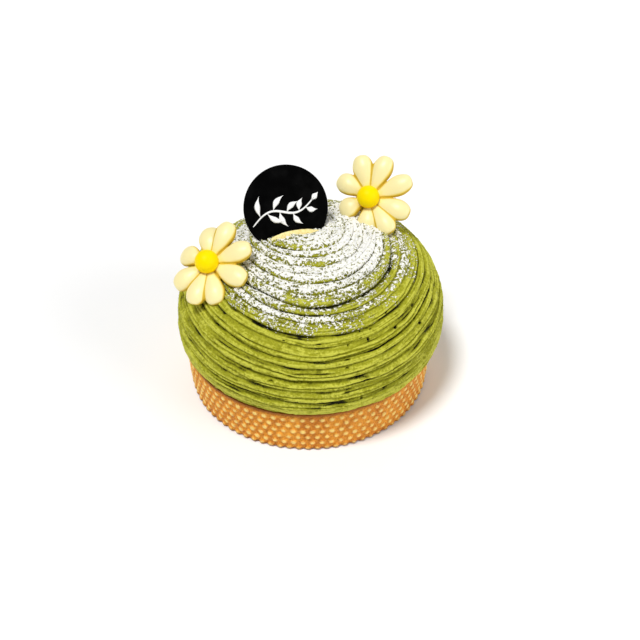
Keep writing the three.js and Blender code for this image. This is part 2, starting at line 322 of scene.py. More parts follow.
def fused(form: Form, cell: float, rounds: int) -> Form:
    """Joins overlapping closed skins into one.

    Args:
        form: the skins.
        cell: size of the new skin's faces.
        rounds: how often the new skin is smoothed.

    Returns:
        One skin round all of them.
    """
    holder = form.object("fusing")
    remesh = holder.modifiers.new("fuse", "REMESH")
    remesh.mode = "VOXEL"
    remesh.voxel_size = cell
    soften = holder.modifiers.new("soften", "SMOOTH")
    soften.factor = 0.5
    soften.iterations = rounds
    shown = holder.evaluated_get(bpy.context.evaluated_depsgraph_get())
    mesh = shown.to_mesh()
    mesh.calc_loop_triangles()
    vertices = np.zeros(3 * len(mesh.vertices), np.float32)
    faces = np.zeros(3 * len(mesh.loop_triangles), np.int32)
    mesh.vertices.foreach_get("co", vertices)
    mesh.loop_triangles.foreach_get("vertices", faces)
    shown.to_mesh_clear()
    bpy.data.meshes.remove(holder.data)
    return Form(vertices.reshape(-1, 3).astype(float), faces.reshape(-1, 3))


# ---- shaders ----------------------------------------------------------------------------


def srgb(red: int, green: int, blue: int) -> Colour:
    """Linear colour of one given as it shows on a screen, from 0 to 255."""
    shares = (channel / 255 for channel in (red, green, blue))
    return tuple(c / 12.92 if c < 0.04045 else ((c + 0.055) / 1.055) ** 2.4 for c in shares)


class Wire:
    """Output socket of a shader node, so that maths on it reads as Python."""

    def __init__(self, paint: "Paint", socket: bpy.types.NodeSocket) -> None:
        """Wraps a socket of a paint's node tree."""
        self.paint = paint
        self.socket = socket

    def maths(self, operation: str, *values: "Input") -> "Wire":
        """One Math node on some values."""
        return self.paint.node("ShaderNodeMath", {"operation": operation}, dict(enumerate(values)))

    def __add__(self, other: "Input") -> "Wire":
        """Sum."""
        return self.maths("ADD", self, other)

    def __sub__(self, other: "Input") -> "Wire":
        """Difference."""
        return self.maths("SUBTRACT", self, other)

    def __rsub__(self, other: "Input") -> "Wire":
        """Difference from a number."""
        return self.maths("SUBTRACT", other, self)

    def __mul__(self, other: "Input") -> "Wire":
        """Product."""
        return self.maths("MULTIPLY", self, other)

    __radd__ = __add__
    __rmul__ = __mul__

    def eased(self, low: float, high: float) -> "Wire":
        """Smooth step from 0 at low to 1 at high."""
        settings = {"interpolation_type": "SMOOTHSTEP"}
        return self.paint.node("ShaderNodeMapRange", settings, {0: self, 1: low, 2: high})


Input = Union[Wire, float, Sequence[float]]


class Paint:
    """Node material under construction, round one Principled shader."""

    def __init__(self, name: str, roughness: float, specular: float = 0.4) -> None:
        """Starts a material with the constants of its shader.

        Args:
            name: the material's name.
            roughness: from 0, polished, to 1.
            specular: how strongly it mirrors.
        """
        self.material = bpy.data.materials.new(name)
        self.material.use_nodes = True
        self.shader = self.material.node_tree.nodes["Principled BSDF"]
        self.shader.inputs["Roughness"].default_value = roughness
        self.shader.inputs["Specular IOR Level"].default_value = specular

    def scatter(self, weight: float, radius: Triple, scale: float) -> None:
        """Lets light through the surface.

        Args:
            weight: share of the light that goes in.
            radius: how far each colour goes, where the scale is 1.
            scale: that distance in metres.
        """
        self.shader.inputs["Subsurface Weight"].default_value = weight
        self.shader.inputs["Subsurface Radius"].default_value = radius
        self.shader.inputs["Subsurface Scale"].default_value = scale

    def feed(self, socket: bpy.types.NodeSocket, value: Input) -> None:
        """Sets a socket to a number or colour, or links a wire to it.

        Args:
            socket: the input.
            value: the number, colour, row or wire.
        """
        if isinstance(value, Wire):
            self.material.node_tree.links.new(value.socket, socket)
        elif socket.type == "RGBA":
            socket.default_value = (*value, 1)
        else:
            socket.default_value = value

    def node(self, kind: str, settings: dict, inputs: dict, output: Union[int, str] = 0) -> Wire:
        """Adds a node.

        Args:
            kind: the node's type.
            settings: its properties, set before its sockets.
            inputs: what each socket gets, by name or number.
            output: the socket that is wanted.

        Returns:
            The wire out of it.
        """
        made = self.material.node_tree.nodes.new(kind)
        for name, value in settings.items():
            setattr(made, name, value)
        for key, value in inputs.items():
            self.feed(made.inputs[key], value)
        return Wire(self, made.outputs[output])

    def mark(self, name: str) -> Wire:
        """Number painted on the vertices."""
        return self.node("ShaderNodeAttribute", {"attribute_name": name}, {}, "Fac")

    def place(self) -> Wire:
        """Place on the object."""
        return self.node("ShaderNodeTexCoord", {}, {}, "Object")

    def noise(self, cell: float, detail: float = 2) -> Wire:
        """Soft noise from 0 to 1, with features of about one cell, in metres."""
        inputs = {"Vector": self.place(), "Scale": 1 / cell, "Detail": detail}
        return self.node("ShaderNodeTexNoise", {}, inputs, "Fac")

    def fibre(self, length: float, per_strand: float) -> Wire:
        """Noise from 0 to 1 that is drawn out along the piped strands.

        Args:
            length: how long its features are, in metres.
            per_strand: how many of them lie side by side on a strand.

        Returns:
            The noise.
        """
        across = self.node("ShaderNodeCombineXYZ", {}, {2: self.mark("wound") * per_strand})
        flat = {0: self.place(), 1: (1 / length, 1 / length, 0)}
        along = self.node("ShaderNodeVectorMath", {"operation": "MULTIPLY"}, flat)
        vector = self.node("ShaderNodeVectorMath", {"operation": "ADD"}, {0: along, 1: across})
        inputs = {"Vector": vector, "Scale": 1, "Detail": 1}
        return self.node("ShaderNodeTexNoise", {}, inputs, "Fac")

    def mix(self, share: Input, first: Input, second: Input) -> Wire:
        """Colour between two, the second where the share is 1."""
        inputs = {"Factor": share, 6: first, 7: second}
        return self.node("ShaderNodeMix", {"data_type": "RGBA"}, inputs, 2)

    def bump(self, height: Wire, depth: float) -> None:
        """Fine relief of a height from 0 to 1 that stands for a depth in metres.

        Args:
            height: the relief.
            depth: that depth.
        """
        inputs = {"Height": height, "Distance": depth, "Strength": 1.0}
        normal = self.node("ShaderNodeBump", {}, inputs, "Normal")
        self.feed(self.shader.inputs["Normal"], normal)

    def finish(self, colour: Input, roughness: Union[Wire, None] = None) -> bpy.types.Material:
        """Connects the colour, and the roughness if it varies, and returns the material.

        Args:
            colour: the colour or its wire.
            roughness: its wire, or nothing.

        Returns:
            The material.
        """
        self.feed(self.shader.inputs["Base Color"], colour)
        if roughness is not None:
            self.feed(self.shader.inputs["Roughness"], roughness)
        return self.material


@dataclass(frozen=True)
class CreamFinish:
    """Piped matcha cream with painted shade in its grooves, painted highlights on its strands, and
    icing sugar where it is dusted.
    """

    # crest is a painted highlight and shaded a painted shade: lit and shaded copies of the body's
    # green.
    crest: Colour = srgb(205, 205, 76)
    body: Colour = srgb(161, 161, 35)
    shaded: Colour = srgb(112, 112, 12)
    # groove is the near-black painted shade deep in the grooves.
    groove: Colour = srgb(22, 22, 1)
    sugar: Colour = srgb(254, 253, 248)
    sugar_shadow: Colour = srgb(224, 222, 184)
    fleck_size: float = 0.5 * MM
    grit_size: float = 1.0 * MM
    speck_size: float = 1.1 * MM
    patch_size: float = 7 * MM
    thread_length: float = 7 * MM
    threads_per_strand: float = 9
    # Thin lines of painted shade along the strands.
    fine_line_length: float = 12 * MM
    fine_lines_per_strand: float = 6
    relief: float = 0.6 * MM

    def paint(self) -> bpy.types.Material:
        """Builds the material.

        Returns:
            The material.
        """
        paint = Paint("matcha_cream_finish", roughness=0.75, specular=0.14)
        paint.scatter(0.06, (0.9, 0.9, 0.2), 0.6 * MM)
        hollow_shade, dust = paint.mark("hollow_shade"), paint.mark("sugar")
        streak = paint.mark("streak") * 0.5 + 0.5
        fleck = paint.noise(self.fleck_size)
        grit = paint.noise(self.grit_size, 4)
        patch = paint.noise(self.patch_size)
        thread = paint.fibre(self.thread_length, self.threads_per_strand)
        # Painted shade along thin lines of the strands.
        fine_line_shade = 0.42 - paint.fibre(self.fine_line_length, self.fine_lines_per_strand)

        # Random streaks and grit in the green, with painted highlight and shade: the painted shade
        # of the hollows lowers it, and it picks the lit copy crest or the shaded copy shaded.
        light = streak * 0.35 + thread * 0.9 + grit * 1.2 + patch * 0.1 - hollow_shade * 0.6 - 0.1
        colour = paint.mix(light.eased(0.85, 1.3), self.body, self.crest)
        colour = paint.mix(light.eased(0.8, 0.35), colour, self.shaded)
        # Painted shade: darker in the hollows and along thin lines, and near black deepest in the
        # grooves.
        shade_depth = hollow_shade + (fleck - 0.5) * 0.5 + fine_line_shade * 1.8
        colour = paint.mix(shade_depth.eased(0.3, 0.85) * 0.8, colour, self.shaded)
        colour = paint.mix(shade_depth.eased(0.6, 0.95), colour, self.groove)

        speck = paint.noise(self.speck_size, 1)
        powder = dust + (fleck - 0.5) * 1.8 + (speck - 0.5) * 3.0
        cover = powder.eased(0.46, 0.56) * dust.eased(0.03, 0.2)
        # Painted shade between the sugar grains: the green goes darker where sugar lies, and near
        # black in the bare pits.
        shaded_pit = powder.eased(0.3, 0.1) * dust.eased(0.4, 0.8)
        colour = paint.mix(dust.eased(0.05, 0.7) * 0.75, colour, self.shaded)
        colour = paint.mix(shaded_pit, colour, self.groove)
        white = paint.mix(powder.eased(0.5, 0.85), self.sugar_shadow, self.sugar)
        colour = paint.mix(cover, colour, white)
        paint.bump(thread * 0.5 + grit * 1.1 + fleck * 0.3 + cover * 0.5, self.relief)
        return paint.finish(colour, 0.7 + cover * 0.2)


@dataclass(frozen=True)
class CrustFinish:
    """Baked pastry: pale tips that are a painted highlight, golden crumb between them, and painted
    shade that browns it at the foot and under the rim.
    """

    # tip is a painted highlight on the studs' tips.
    tip: Colour = srgb(255, 226, 130)
    crumb: Colour = srgb(244, 166, 52)
    baked: Colour = srgb(196, 110, 20)
    # Colour of the painted shade at the foot and under the rim.
    brown_shade: Colour = srgb(140, 74, 12)
    crumb_size: float = 0.6 * MM
    patch_size: float = 6 * MM
    relief: float = 0.45 * MM

    def paint(self) -> bpy.types.Material:
        """Builds the material.

        Returns:
            The material.
        """
        paint = Paint("crust_finish", roughness=0.5, specular=0.32)
        crumb = paint.noise(self.crumb_size, 3)
        patch = paint.noise(self.patch_size)
        tip = paint.mark("tip")
        golden = (crumb * 0.8 + patch * 0.5).eased(0.4, 0.85)
        colour = paint.mix(golden, self.baked, self.crumb)
        # Painted highlight on the studs' tips.
        tip_highlight = (tip + crumb * 0.5 - 0.25).eased(0.35, 1.0) * 0.9
        colour = paint.mix(tip_highlight, colour, self.tip)
        # Painted shade: browner towards the foot and under the rim.
        shade = paint.mark("edge") * (1.3 - crumb * 0.6)
        colour = paint.mix(shade.eased(0.1, 1.0) * 0.8, colour, self.brown_shade)
        paint.bump(crumb, self.relief)
        return paint.finish(colour, 0.64 - tip * 0.26)


@dataclass(frozen=True)
class PlaqueFinish:
    """Smooth black with a faint unevenness."""

    black: Colour = srgb(1, 1, 1)
    worn: Colour = srgb(9, 9, 9)
    cloud_size: float = 5 * MM
    ripple_size: float = 0.6 * MM
    ripple_depth: float = 0.02 * MM

    def paint(self) -> bpy.types.Material:
        """Builds the material.

        Returns:
            The material.
        """
        paint = Paint("plaque_finish", roughness=0.5, specular=0.03)
        cloud = paint.noise(self.cloud_size, 3)
        paint.bump(paint.noise(self.ripple_size), self.ripple_depth)
        colour = paint.mix(cloud.eased(0.35, 0.8), self.black, self.worn)
        return paint.finish(colour, 0.44 + cloud * 0.14)


@dataclass(frozen=True)
class LineFinish:
    """White line on the plaque."""

    white: Colour = srgb(252, 252, 250)
    thin: Colour = srgb(214, 214, 212)
    film_size: float = 0.9 * MM

    def paint(self) -> bpy.types.Material:
        """Builds the material.

        Returns:
            The material.
        """
        paint = Paint("line_finish", roughness=0.5, specular=0.3)
        film = paint.noise(self.film_size)
        return paint.finish(paint.mix(film.eased(0.62, 0.9), self.white, self.thin))


@dataclass(frozen=True)
class RidgeFinish:
    """Pale cream at the plaque's foot."""

    pale: Colour = srgb(250, 234, 168)
    deep: Colour = srgb(232, 204, 118)
    grain_size: float = 0.8 * MM
    relief: float = 0.15 * MM

    def paint(self) -> bpy.types.Material:
        """Builds the material.

        Returns:
            The material.
        """
        paint = Paint("ridge_finish", roughness=0.55, specular=0.3)
        paint.scatter(0.2, (1.0, 0.8, 0.4), 1.0 * MM)
        grain = paint.noise(self.grain_size, 3)
        paint.bump(grain, self.relief)
        return paint.finish(paint.mix(grain.eased(0.4, 0.75), self.pale, self.deep))


@dataclass(frozen=True)
class PetalFinish:
    """Satin pale yellow with painted amber shade between the petals and on their shaded sides."""

    pale: Colour = srgb(248, 234, 172)
    # warm and amber are the painted shade, lighter and deeper.
    warm_shade: Colour = srgb(242, 220, 118)
    amber_shade: Colour = srgb(212, 176, 44)
    cloud_size: float = 3 * MM
    ripple_size: float = 1.4 * MM
    ripple_depth: float = 0.05 * MM

    def paint(self) -> bpy.types.Material:
        """Builds the material.

        Returns:
            The material.
        """
        paint = Paint("petal_finish", roughness=0.38, specular=0.3)
        paint.scatter(0.08, (1.0, 0.95, 0.6), 1.0 * MM)
        # Painted shade, from pale through warm to amber.
        amber_shade = paint.mark("amber_shade") + (paint.noise(self.cloud_size) - 0.5) * 0.25
        colour = paint.mix(amber_shade.eased(0.15, 0.6), self.pale, self.warm_shade)
        colour = paint.mix(amber_shade.eased(0.5, 1.0), colour, self.amber_shade)
        paint.bump(paint.noise(self.ripple_size), self.ripple_depth)
        return paint.finish(colour, 0.34 + amber_shade * 0.12)


@dataclass(frozen=True)
class CentreFinish:
    """Vivid yellow ball, with painted shade that deepens it towards its underside."""

    vivid: Colour = srgb(255, 225, 0)
    # deep is the painted shade of the underside.
    deep: Colour = srgb(246, 196, 0)
    cloud_size: float = 1.5 * MM
    ripple_size: float = 0.8 * MM
    ripple_depth: float = 0.04 * MM

    def paint(self) -> bpy.types.Material:
        """Builds the material.

        Returns:
            The material.
        """
        paint = Paint("centre_finish", roughness=0.42, specular=0.06)
        # Painted shade on the ball's underside.
        low = paint.mark("low") + (paint.noise(self.cloud_size) - 0.5) * 0.2
        paint.bump(paint.noise(self.ripple_size), self.ripple_depth)
        return paint.finish(paint.mix(low.eased(0.3, 1.0), self.vivid, self.deep))


@dataclass(frozen=True)
class SugarFinish:
    """Loose grains of icing sugar."""

    white: Colour = srgb(254, 254, 252)
    grey: Colour = srgb(226, 228, 214)
    speck_size: float = 0.9 * MM

    def paint(self) -> bpy.types.Material:
        """Builds the material.

        Returns:
            The material.
        """
        paint = Paint("sugar_finish", roughness=0.8, specular=0.2)
        speck = paint.noise(self.speck_size, 1)
        return paint.finish(paint.mix(speck.eased(0.5, 0.8), self.white, self.grey))


# ---- tart case --------------------------------------------------------------------------


@dataclass
class TartCase:
    """Short flared drum of pastry whose wall carries staggered rows of studs."""

    height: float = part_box("tart_case")[1].z
    foot_radius: float = 49.7 * MM
    rim_radius: float = 50.9 * MM
    foot_round: float = 0.9 * MM
    studs_around: int = 84
    stud_rows: int = 6
    first_row: float = 1 * MM
    row_pitch: float = 3.25 * MM
    stud_rise: float = 0.75 * MM
    stud_radius: float = 1.55 * MM
    columns_per_stud: int = 12
    stud_unevenness: float = 0.12
    wall_rows: int = 64
    crumb_depth: float = 0.12 * MM
    crumb_sizes: tuple[float, float] = (0.6 * MM, 1.5 * MM)
    shaded_edge: float = 2.6 * MM

    def studs(self, angle: Array, height: Array) -> Array:
        """How far the wall stands out at each point because of a stud.

        Args:
            angle: direction from the case's axis.
            height: height over the floor.

        Returns:
            The distance in metres.
        """
        pitch = 2 * math.pi / self.studs_around
        total = np.zeros_like(angle)
        jitter = Grain(11)
        for row in range(self.stud_rows):
            shift = pitch / 2 if row % 2 else 0.0
            column = np.round((angle - shift) / pitch)
            own = jitter.at(column % self.studs_around + 0.5, row + 0 * angle, 0 * angle)
            across = (angle - shift - column * pitch) * self.rim_radius
            up = height - self.first_row - row * self.row_pitch
            reach = self.stud_radius * (1 + 0.1 * own)
            inside = np.clip(1 - (across**2 + up**2) / reach**2, 0, 1)
            total = np.maximum(total, inside * (1 + self.stud_unevenness * own))
        return self.stud_rise * total

    def build(self) -> bpy.types.Object:
        """Builds and dresses the case.

        Returns:
            The case as one piece.
        """
        levels = np.linspace(0, self.height, self.wall_rows)
        foot = self.foot_round * np.clip(1 - levels / self.first_row, 0, 1) ** 2
        flare = self.rim_radius - self.foot_radius
        wall = self.foot_radius + flare * levels / self.height - foot
        profile = np.concatenate([[[0, 0]], np.stack([wall, levels], -1), [[0, self.height]]])
        form = revolve(profile, self.studs_around * self.columns_per_stud)
        x, y, z = form.vertices.T
        radius = np.hypot(x, y)
        on_wall = radius > self.foot_radius / 2
        rise = self.studs(np.arctan2(y, x), z) * on_wall * ease(z, 0, 0.5 * MM)
        fine, coarse = self.crumb_sizes
        crumb = Grain(5).at(x / fine, y / fine, z / fine)
        crumb += Grain(6).at(x / coarse, y / coarse, z / coarse)
        total = rise + crumb * self.crumb_depth * on_wall * (z > 0) * (z < self.height)
        scale = 1 + total / np.maximum(radius, 1e-6)
        form.vertices[:, :2] *= scale[:, None]
        # Stud height, which the finish reads for the painted highlight on the tips.
        form.marks["tip"] = rise / self.stud_rise
        # Painted shade, darker towards the foot and under the cream at the rim.
        foot_shade = 1 - ease(z, 0.2 * MM, self.shaded_edge)
        rim_shade = ease(z, self.height - self.shaded_edge, self.height)
        form.marks["edge"] = np.maximum(foot_shade, rim_shade)
        return form.piece("tart_case_baked", CrustFinish().paint(), Slot.CRUST, "tart_case")


# ---- cream dome -------------------------------------------------------------------------


@dataclass(frozen=True)
class Groove:
    """One groove between two strands, as the front of the dome shows it.

    Attributes:
        place: how far up the dome it lies, in strand widths from the foot.
        strength: how deep it is cut.
        fringe: share of the strand above it that stays green.
        sugar: how thickly icing sugar lies on the rest of that strand.
    """

    place: float
    strength: float
    fringe: float = 0.0
    sugar: float = 0.0


@dataclass(frozen=True)
class Sway:
    """How much higher the strands lie than in front, in strand widths, at one level."""

    level: float
    left: float
    right: float
    back: float


@dataclass(frozen=True)
class StrandGrid:
    """Points of the dome's smooth skin: columns round it and rows up it.

    Attributes:
        turn: share of a turn round the dome.
        row: place across the strands.
        level: place up the outline, in strand widths, before the grooves stray.
        share: share of the outline's length.
        angle: direction from the dome's axis.
        radius: distance from that axis.
        height: height over the floor.
        out: outward part of the outline's direction.
        up: upward part of it.
    """

    turn: Array
    row: Array
    level: Array
    share: Array
    angle: Array
    radius: Array
    height: Array
    out: Array
    up: Array

    @cached_property
    def wound(self) -> Array:
        """Place across the strands that goes on rising from turn to turn."""
        return self.row + self.turn

    @cached_property
    def groove(self) -> Array:
        """Number of the groove under the strand."""
        return np.floor(self.row)

    @cached_property
    def within(self) -> Array:
        """Place across the strand, from the groove under it at 0 to the next one at 1."""
        return self.row - self.groove

    @cached_property
    def place(self) -> Array:
        """Places along X, Y and Z from the dome's axis, in millimetres."""
        across = self.radius * np.cos(self.angle), self.radius * np.sin(self.angle)
        return np.stack([*across, self.height]) / MM

    def grain(self, seed: int, cell: float) -> Array:
        """Noise with features of about one cell, in millimetres."""
        return Grain(seed).at(*(self.place / cell))

    def fibre(self, seed: int, cell: float, per_strand: float, shift: float = 0) -> Array:
        """Noise that is drawn out along the strands.

        Args:
            seed: number of the noise.
            cell: how long its features are, in millimetres.
            per_strand: how many of them lie side by side on a strand.
            shift: moves it across the strands.

        Returns:
            One number for each point.
        """
        x, y, _ = self.place / cell
        return Grain(seed).at(x, y, self.wound * per_strand + shift)


@dataclass
class CreamDome:
    """Dome piped as one strand that winds up from the tart's rim to the top.

    A place across the strand is counted in rows: row 3.5 is halfway between the groove
    that starts as number 3 and the next one. A groove keeps its number round the front.
    Behind, it climbs by one, so that it comes round as the next groove up.
    """

    centre: tuple[float, float] = (0.8 * MM, 1.0 * MM)
    foot_height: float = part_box("cream_dome")[0].z
    foot_radius: float = 52.2 * MM
    foot_curl: float = 1.6 * MM
    waist_height: float = 29.2 * MM
    waist_radius: float = 55.0 * MM
    top_height: float = 66.8 * MM
    tuck: float = 0.12  # share of the profile that lies below the waist
    roundness_out: float = 2.4
    roundness_up: float = 2.54
    widths: int = 19  # strand widths from the foot to the top
    first_row: int = -1
    grooves: Sequence[Groove] = (
        Groove(-2, 0), Groove(-1, 0), Groove(0, 0.1), Groove(1.1, 0.2), Groove(2.05, 1.3),
        Groove(3.2, 0.6), Groove(4.25, 1.0), Groove(5.5, 0.55), Groove(6.2, 1.05),
        Groove(7.4, 0.6, 0.8, 0.06), Groove(8.25, 1.0, 0.7, 0.38), Groove(9.35, 0.55, 0.35, 0.95),
        Groove(10.1, 1.05, 0.5, 0.7), Groove(10.85, 1.3, 0.9, 1), Groove(11.7, 0.6, 0.25, 0.9),
        Groove(12.45, 0.9, 0.45, 1), Groove(13.1, 0.4, 0.1, 1), Groove(13.76, 1.0, 0.45, 1),
        Groove(14.7, 0.6, 0.3, 0.95), Groove(15.3, 0.9, 0.6, 0.95), Groove(16.1, 0.5, 0.1, 1),
        Groove(17, 0.5, 0.1, 1), Groove(18, 0.4, 0.1, 1), Groove(19, 0.3, 0.1, 1),
    )
    sways: Sequence[Sway] = (
        Sway(-1, 0, 0, 0), Sway(0, 0.4, 0.6, 0.3), Sway(2, 0.9, 1.5, 0.8), Sway(5, 1.5, 1.7, 0.8),
        Sway(8.5, 1.5, 0.9, 0.2), Sway(11, 1.1, 0.8, -0.8), Sway(13, 0.4, 0.3, -1.2),
        Sway(15, 0, 0, -0.7), Sway(19, 0, 0, 0),
    )
    start: float = math.radians(-170)
    whorl: tuple[float, float] = (-3.3 * MM, 12.0 * MM)  # its middle, from the dome's centre
    whorl_reach: float = 38 * MM
    groove_depth: float = 2.0 * MM
    section_power: float = 2.1
    section_fill: float = 0.98
    section_depth: float = 0.86  # what the section's curve reaches before it is scaled
    even_width: float = 4.2 * MM  # of a strand whose grooves have their full depth
    droop: float = 0.9 * MM
    lip: float = 12 - 0.02  # number of the groove under the lip of the cap
    lip_step: float = 0.8 * MM
    wander: float = 0.13  # how far a groove strays, in strand widths
    unevenness: float = 0.3  # share by which a groove's depth varies
    fullness: Sequence[tuple[float, float]] = ((1.4 * MM, 30), (-1.9 * MM, 148))  # rise, bearing
    split_depth: float = 0.9 * MM
    split_lines: Sequence[tuple[float, float]] = (  # place across the strand, scarcity
        (0.24, 0.1), (0.5, -0.8), (0.76, 0.1),
    )
    streak_rise: float = 0.24 * MM
    swell_rise: float = 0.34 * MM
    slit_depth: float = 0.35 * MM
    rough_rise: float = 0.1 * MM
    sugar_rise: float = 0.15 * MM
    hole_depth: float = 1.4 * MM
    air_holes: int = 260
    hole_seed: int = 7
    hole_rows: tuple[int, int] = (2, 16)
    hole_sizes: tuple[float, float] = (0.3, 0.85)
    girth: float = 345  # way round the dome, in millimetres
    columns: int = 840
    rows_per_strand: int = 14

    def crossed(self, turn: Array) -> Array:
        """How far a groove has climbed to the next one's place after a share of a turn."""
        return ease(turn, 0.5, 1)

    def of_groove(self, number: Array, quality: str) -> Array:
        """A quality of the grooves at any number, between the two nearest ones."""
        numbers = np.arange(len(self.grooves)) + self.first_row
        return np.interp(number, numbers, [getattr(groove, quality) for groove in self.grooves])

    def sway(self, level: Array, turn: Array) -> Array:
        """How much higher a strand lies than in front, in strand widths.

        Args:
            level: place up the outline in front.
            turn: share of a turn.

        Returns:
            The rise at each point.
        """
        levels = [sway.level for sway in self.sways]
        left, right, back = (
            np.interp(level, levels, [getattr(sway, side) for sway in self.sways])
            for side in ("left", "right", "back")
        )
        front = left * (1 - ease(turn, 0, 0.25)) + right * ease(turn, 0.25, 0.5)
        behind = right + (left - right) * ease(turn, 0.5, 1)
        behind += (back - behind) * ease(0.25 - np.abs(turn - 0.75), 0, 0.25)
        return np.where(turn < 0.5, front, behind)

    def profile(self, samples: int = 4000) -> Array:
        """Half outline of the dome, from its foot to its top.

        Args:
            samples: how many points it has.

        Returns:
            Rows of share of its length, radius and height.
        """
        t = np.linspace(0, 1, samples)
        down = np.clip(1 - t / self.tuck, 0, 1)
        angle = np.clip((t - self.tuck) / (1 - self.tuck), 0, 1) * math.pi / 2
        across = np.cos(angle).clip(0) ** (2 / self.roundness_out)
        up = np.sin(angle) ** (2 / self.roundness_up)
        foot = (self.waist_radius - self.foot_radius) * down**2
        radius = self.waist_radius * across - foot
        height = self.waist_height + (self.top_height - self.waist_height) * up
        height -= (self.waist_height - self.foot_height) * down
        steps = np.hypot(np.diff(radius), np.diff(height))
        length = np.concatenate([[0], np.cumsum(steps)])
        return np.stack([length / length[-1], radius, height], -1)

    def whorled(self, share: Array, angle: Array) -> tuple[Array, Array]:
        """Moves places on the cap so that the strands wind round the whorl's own middle.

        Args:
            share: share of the profile's length.
            angle: direction from the dome's centre.

        Returns:
            The new shares and directions.
        """
        length, radii, _ = self.profile().T
        radius = np.interp(share, length, radii)
        pull = np.clip(1 - (radius / self.whorl_reach) ** 2, 0, 1) ** 1.5
        pull *= share > 0.5
        x = radius * np.cos(angle) + pull * self.whorl[0]
        y = radius * np.sin(angle) + pull * self.whorl[1]
        widest = radii.argmax()
        moved = np.interp(-np.hypot(x, y), -radii[widest:], length[widest:])
        near = pull > 0
        return np.where(near, moved, share), np.where(near, np.arctan2(y, x), angle)

    def shoulders(self, angle: Array, share: Array) -> Array:
        """Uneven fullness of the dome: fuller at the right rear, flatter at the left rear.

        Args:
            angle: direction from the dome's axis.
            share: share of the outline's length.

        Returns:
            The rise in metres.
        """
        total = sum(
            rise * ((np.cos(angle - math.radians(bearing)) + 1) / 2) ** 6
            for rise, bearing in self.fullness
        )
        return total * np.sin(math.pi * share) ** 4

    def strength(self, groove: Array, turn: Array) -> Array:
        """How deep each groove is cut there, with some unevenness of its own."""
        own = 1 + self.unevenness * Grain(21).at((groove + turn) * 9, 0 * turn, 0 * turn)
        return self.of_groove(groove + self.crossed(turn), "strength") * own

    def holes(self, row: Array, turn: Array) -> Array:
        """Depth from 0 to 1 of small air holes, most of them in the grooves.

        Args:
            row: place across the strands.
            turn: share of a turn.

        Returns:
            The depth at each point.
        """
        draw = np.random.default_rng(self.hole_seed)
        total = np.zeros_like(row)
        for _ in range(self.air_holes):
            at = draw.uniform(0, 1)
            level = draw.integers(*self.hole_rows) + draw.normal(0, 0.16)
            size = draw.uniform(*self.hole_sizes) ** 2
            long = (0.3 + 0.9 * size * draw.uniform(0.6, 1.4)) / self.girth
            wide = 0.035 + 0.05 * size
            first, last = (
                int((level + side * 3 * wide - self.first_row) * self.rows_per_strand)
                for side in (-1, 1)
            )
            near = slice(max(first, 0), last + 2)
            away = (turn - at + 0.5) % 1 - 0.5
            inside = (away / long) ** 2 + ((row[:, near] - level) / wide) ** 2
            total[:, near] = np.maximum(total[:, near], np.exp(-(inside**2)))
        return total

    def grid(self) -> StrandGrid:
        """The smooth skin, with its rows laid along the strands.

        Returns:
            The grid.
        """
        rows = self.rows_per_strand * (len(self.grooves) - 1) + 1
        turn = (np.arange(self.columns) / self.columns)[:, None]
        row = (np.arange(rows) / self.rows_per_strand)[None, :] + self.first_row + 0 * turn
        place = self.of_groove(row + self.crossed(turn), "place")
        level = place + self.sway(place, turn)
        angle = self.start + 2 * math.pi * turn + 0 * row

        line = self.profile()
        length = line[:, 0]
        slope = np.gradient(line[:, 1:], length, axis=0)
        slope /= np.linalg.norm(slope, axis=1, keepdims=True)
        qualities = (*line[:, 1:].T, *slope.T)

        def points(share: Array, angle: Array) -> StrandGrid:
            """Points at some shares of the outline and directions."""
            read = (np.interp(share, length, quality) for quality in qualities)
            return StrandGrid(turn, row, level, share, angle, *read)

        even = points(level / self.widths, angle)
        stray = even.fibre(22, 17, 0.85) + 0.4 * even.fibre(23, 6, 1)
        stray *= self.wander * ease(level, 0, 1.5)
        stray *= 1 - ease(level, self.widths - 2, self.widths)
        share = np.clip((level + stray) / self.widths, 0, 1)
        return points(*self.whorled(share, angle))

    def strand_width(self, grid: StrandGrid) -> Array:
        """How wide the strand is at each point, where an even one is 1.

        Args:
            grid: the smooth skin.

        Returns:
            The width, from 0.25 to 1.15.
        """
        steps = np.gradient(grid.place, axis=2)
        width = np.linalg.norm(steps, axis=0) * self.rows_per_strand * MM
        return np.clip(width / self.even_width, 0.25, 1.15)

    def section(self, within: Array) -> Array:
        """Round section of a strand: 0 on its crest and -1 in the grooves beside it."""
        aside = np.abs(2 * within - 1) ** self.section_power
        return (np.sqrt(1 - self.section_fill * aside) - 1) / self.section_depth

    def splits(self, grid: StrandGrid, width: Array) -> Array:
        """Thin lines that part a strand lengthwise here and there, from 0 to 1.

        Args:
            grid: the smooth skin.
            width: how wide the strand is.

        Returns:
            The depth at each point.
        """
        total = np.zeros_like(grid.row)
        for middle, scarcity in self.split_lines:
            line = bell(grid.within - middle - 0.1 * grid.fibre(31, 16, 1, middle), 0.05)
            seen = ease(grid.fibre(32, 16, 0.9, 7 * middle) - scarcity, -0.3, 0.3)
            total = np.maximum(total, line * seen)
        return total * (0.35 + 0.65 * ease(width, 0.75, 1.0))

    def under_lip(self, grid: StrandGrid) -> Array:
        """How much of the step under the cap's lip the strands take, from 0 to 1.

        Args:
            grid: the smooth skin.

        Returns:
            The share at each point.
        """
        crossed = self.crossed(grid.turn)
        number = grid.row + crossed
        part = ease(number, self.lip - 2.2, self.lip) * (number < self.lip)
        return part * (1 - 4 * crossed * (1 - crossed))

